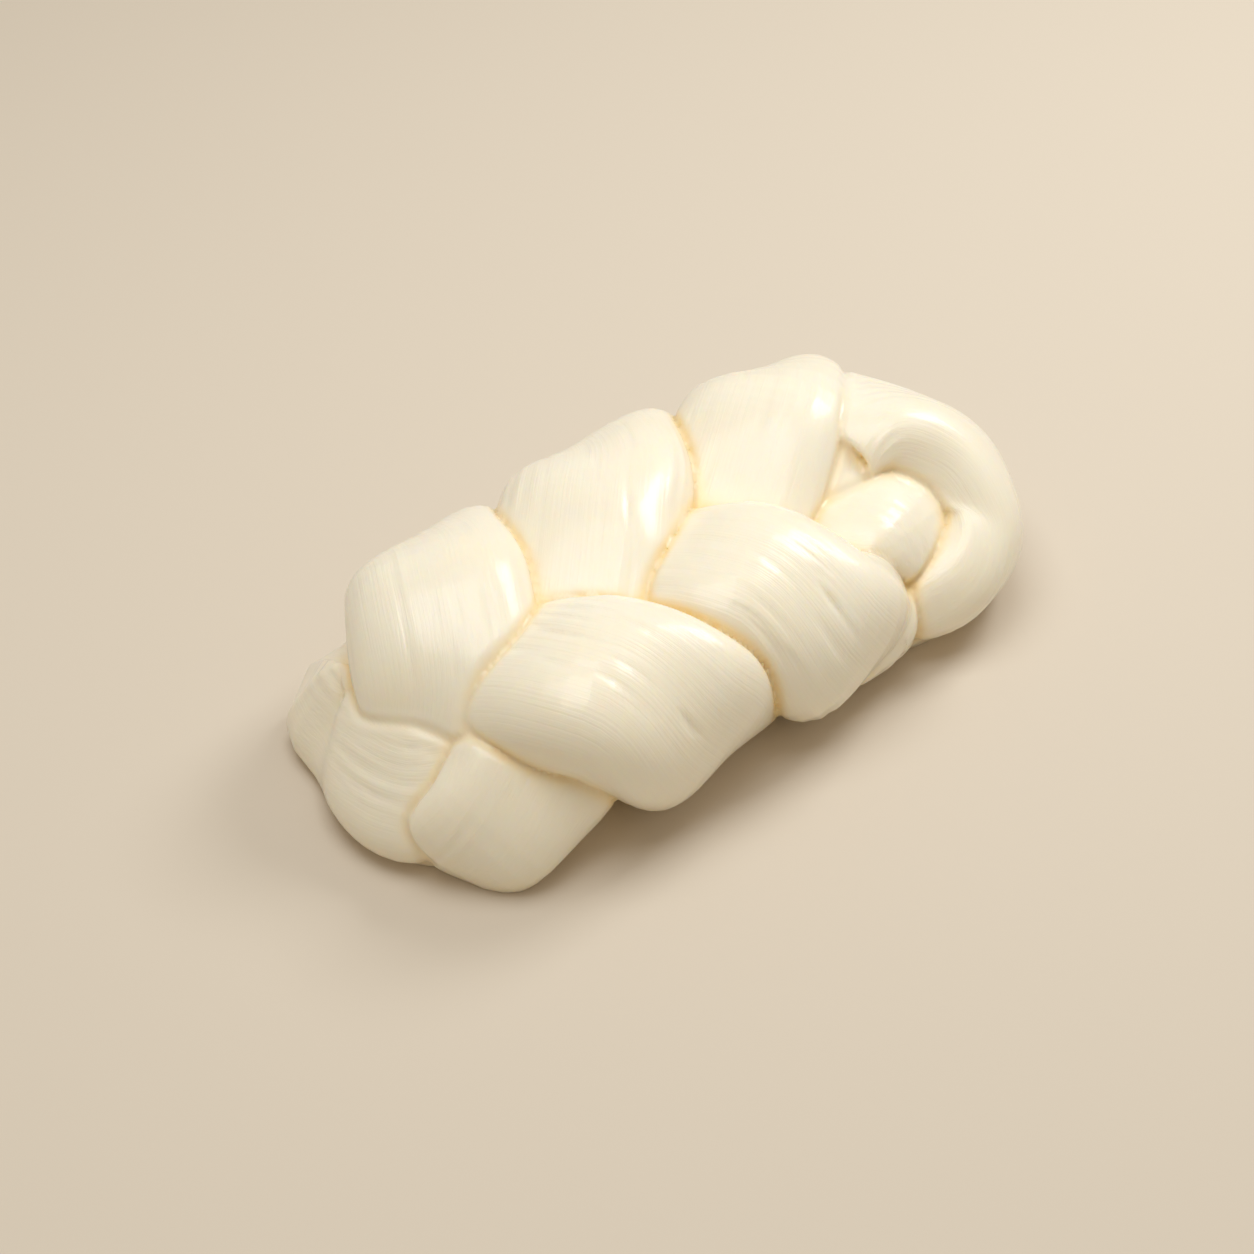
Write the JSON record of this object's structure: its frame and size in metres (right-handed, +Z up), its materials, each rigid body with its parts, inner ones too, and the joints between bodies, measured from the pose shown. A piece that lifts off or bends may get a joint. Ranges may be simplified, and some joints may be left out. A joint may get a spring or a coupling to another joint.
{
  "type": "braided cheese",
  "caption": "Whole plait of soft fresh white cheese, its strands crossed over each other and folded under at both ends, lying on its flat underside.",
  "frame": {"origin": "under the middle of the plait, on the surface that it rests on", "axes": "+X along the plait towards the end with the open loop, +Y towards the side whose lobes slant less across the plait, +Z up"},
  "size_m": [0.1818, 0.0906, 0.0489],
  "materials": {
    "curd": "moist fresh curd, ivory, softly translucent with a wet satin gloss and fine stretch fibres along each strand"
  },
  "bodies": {
    "root": {"braid": "curd"}
  },
  "joints": []
}
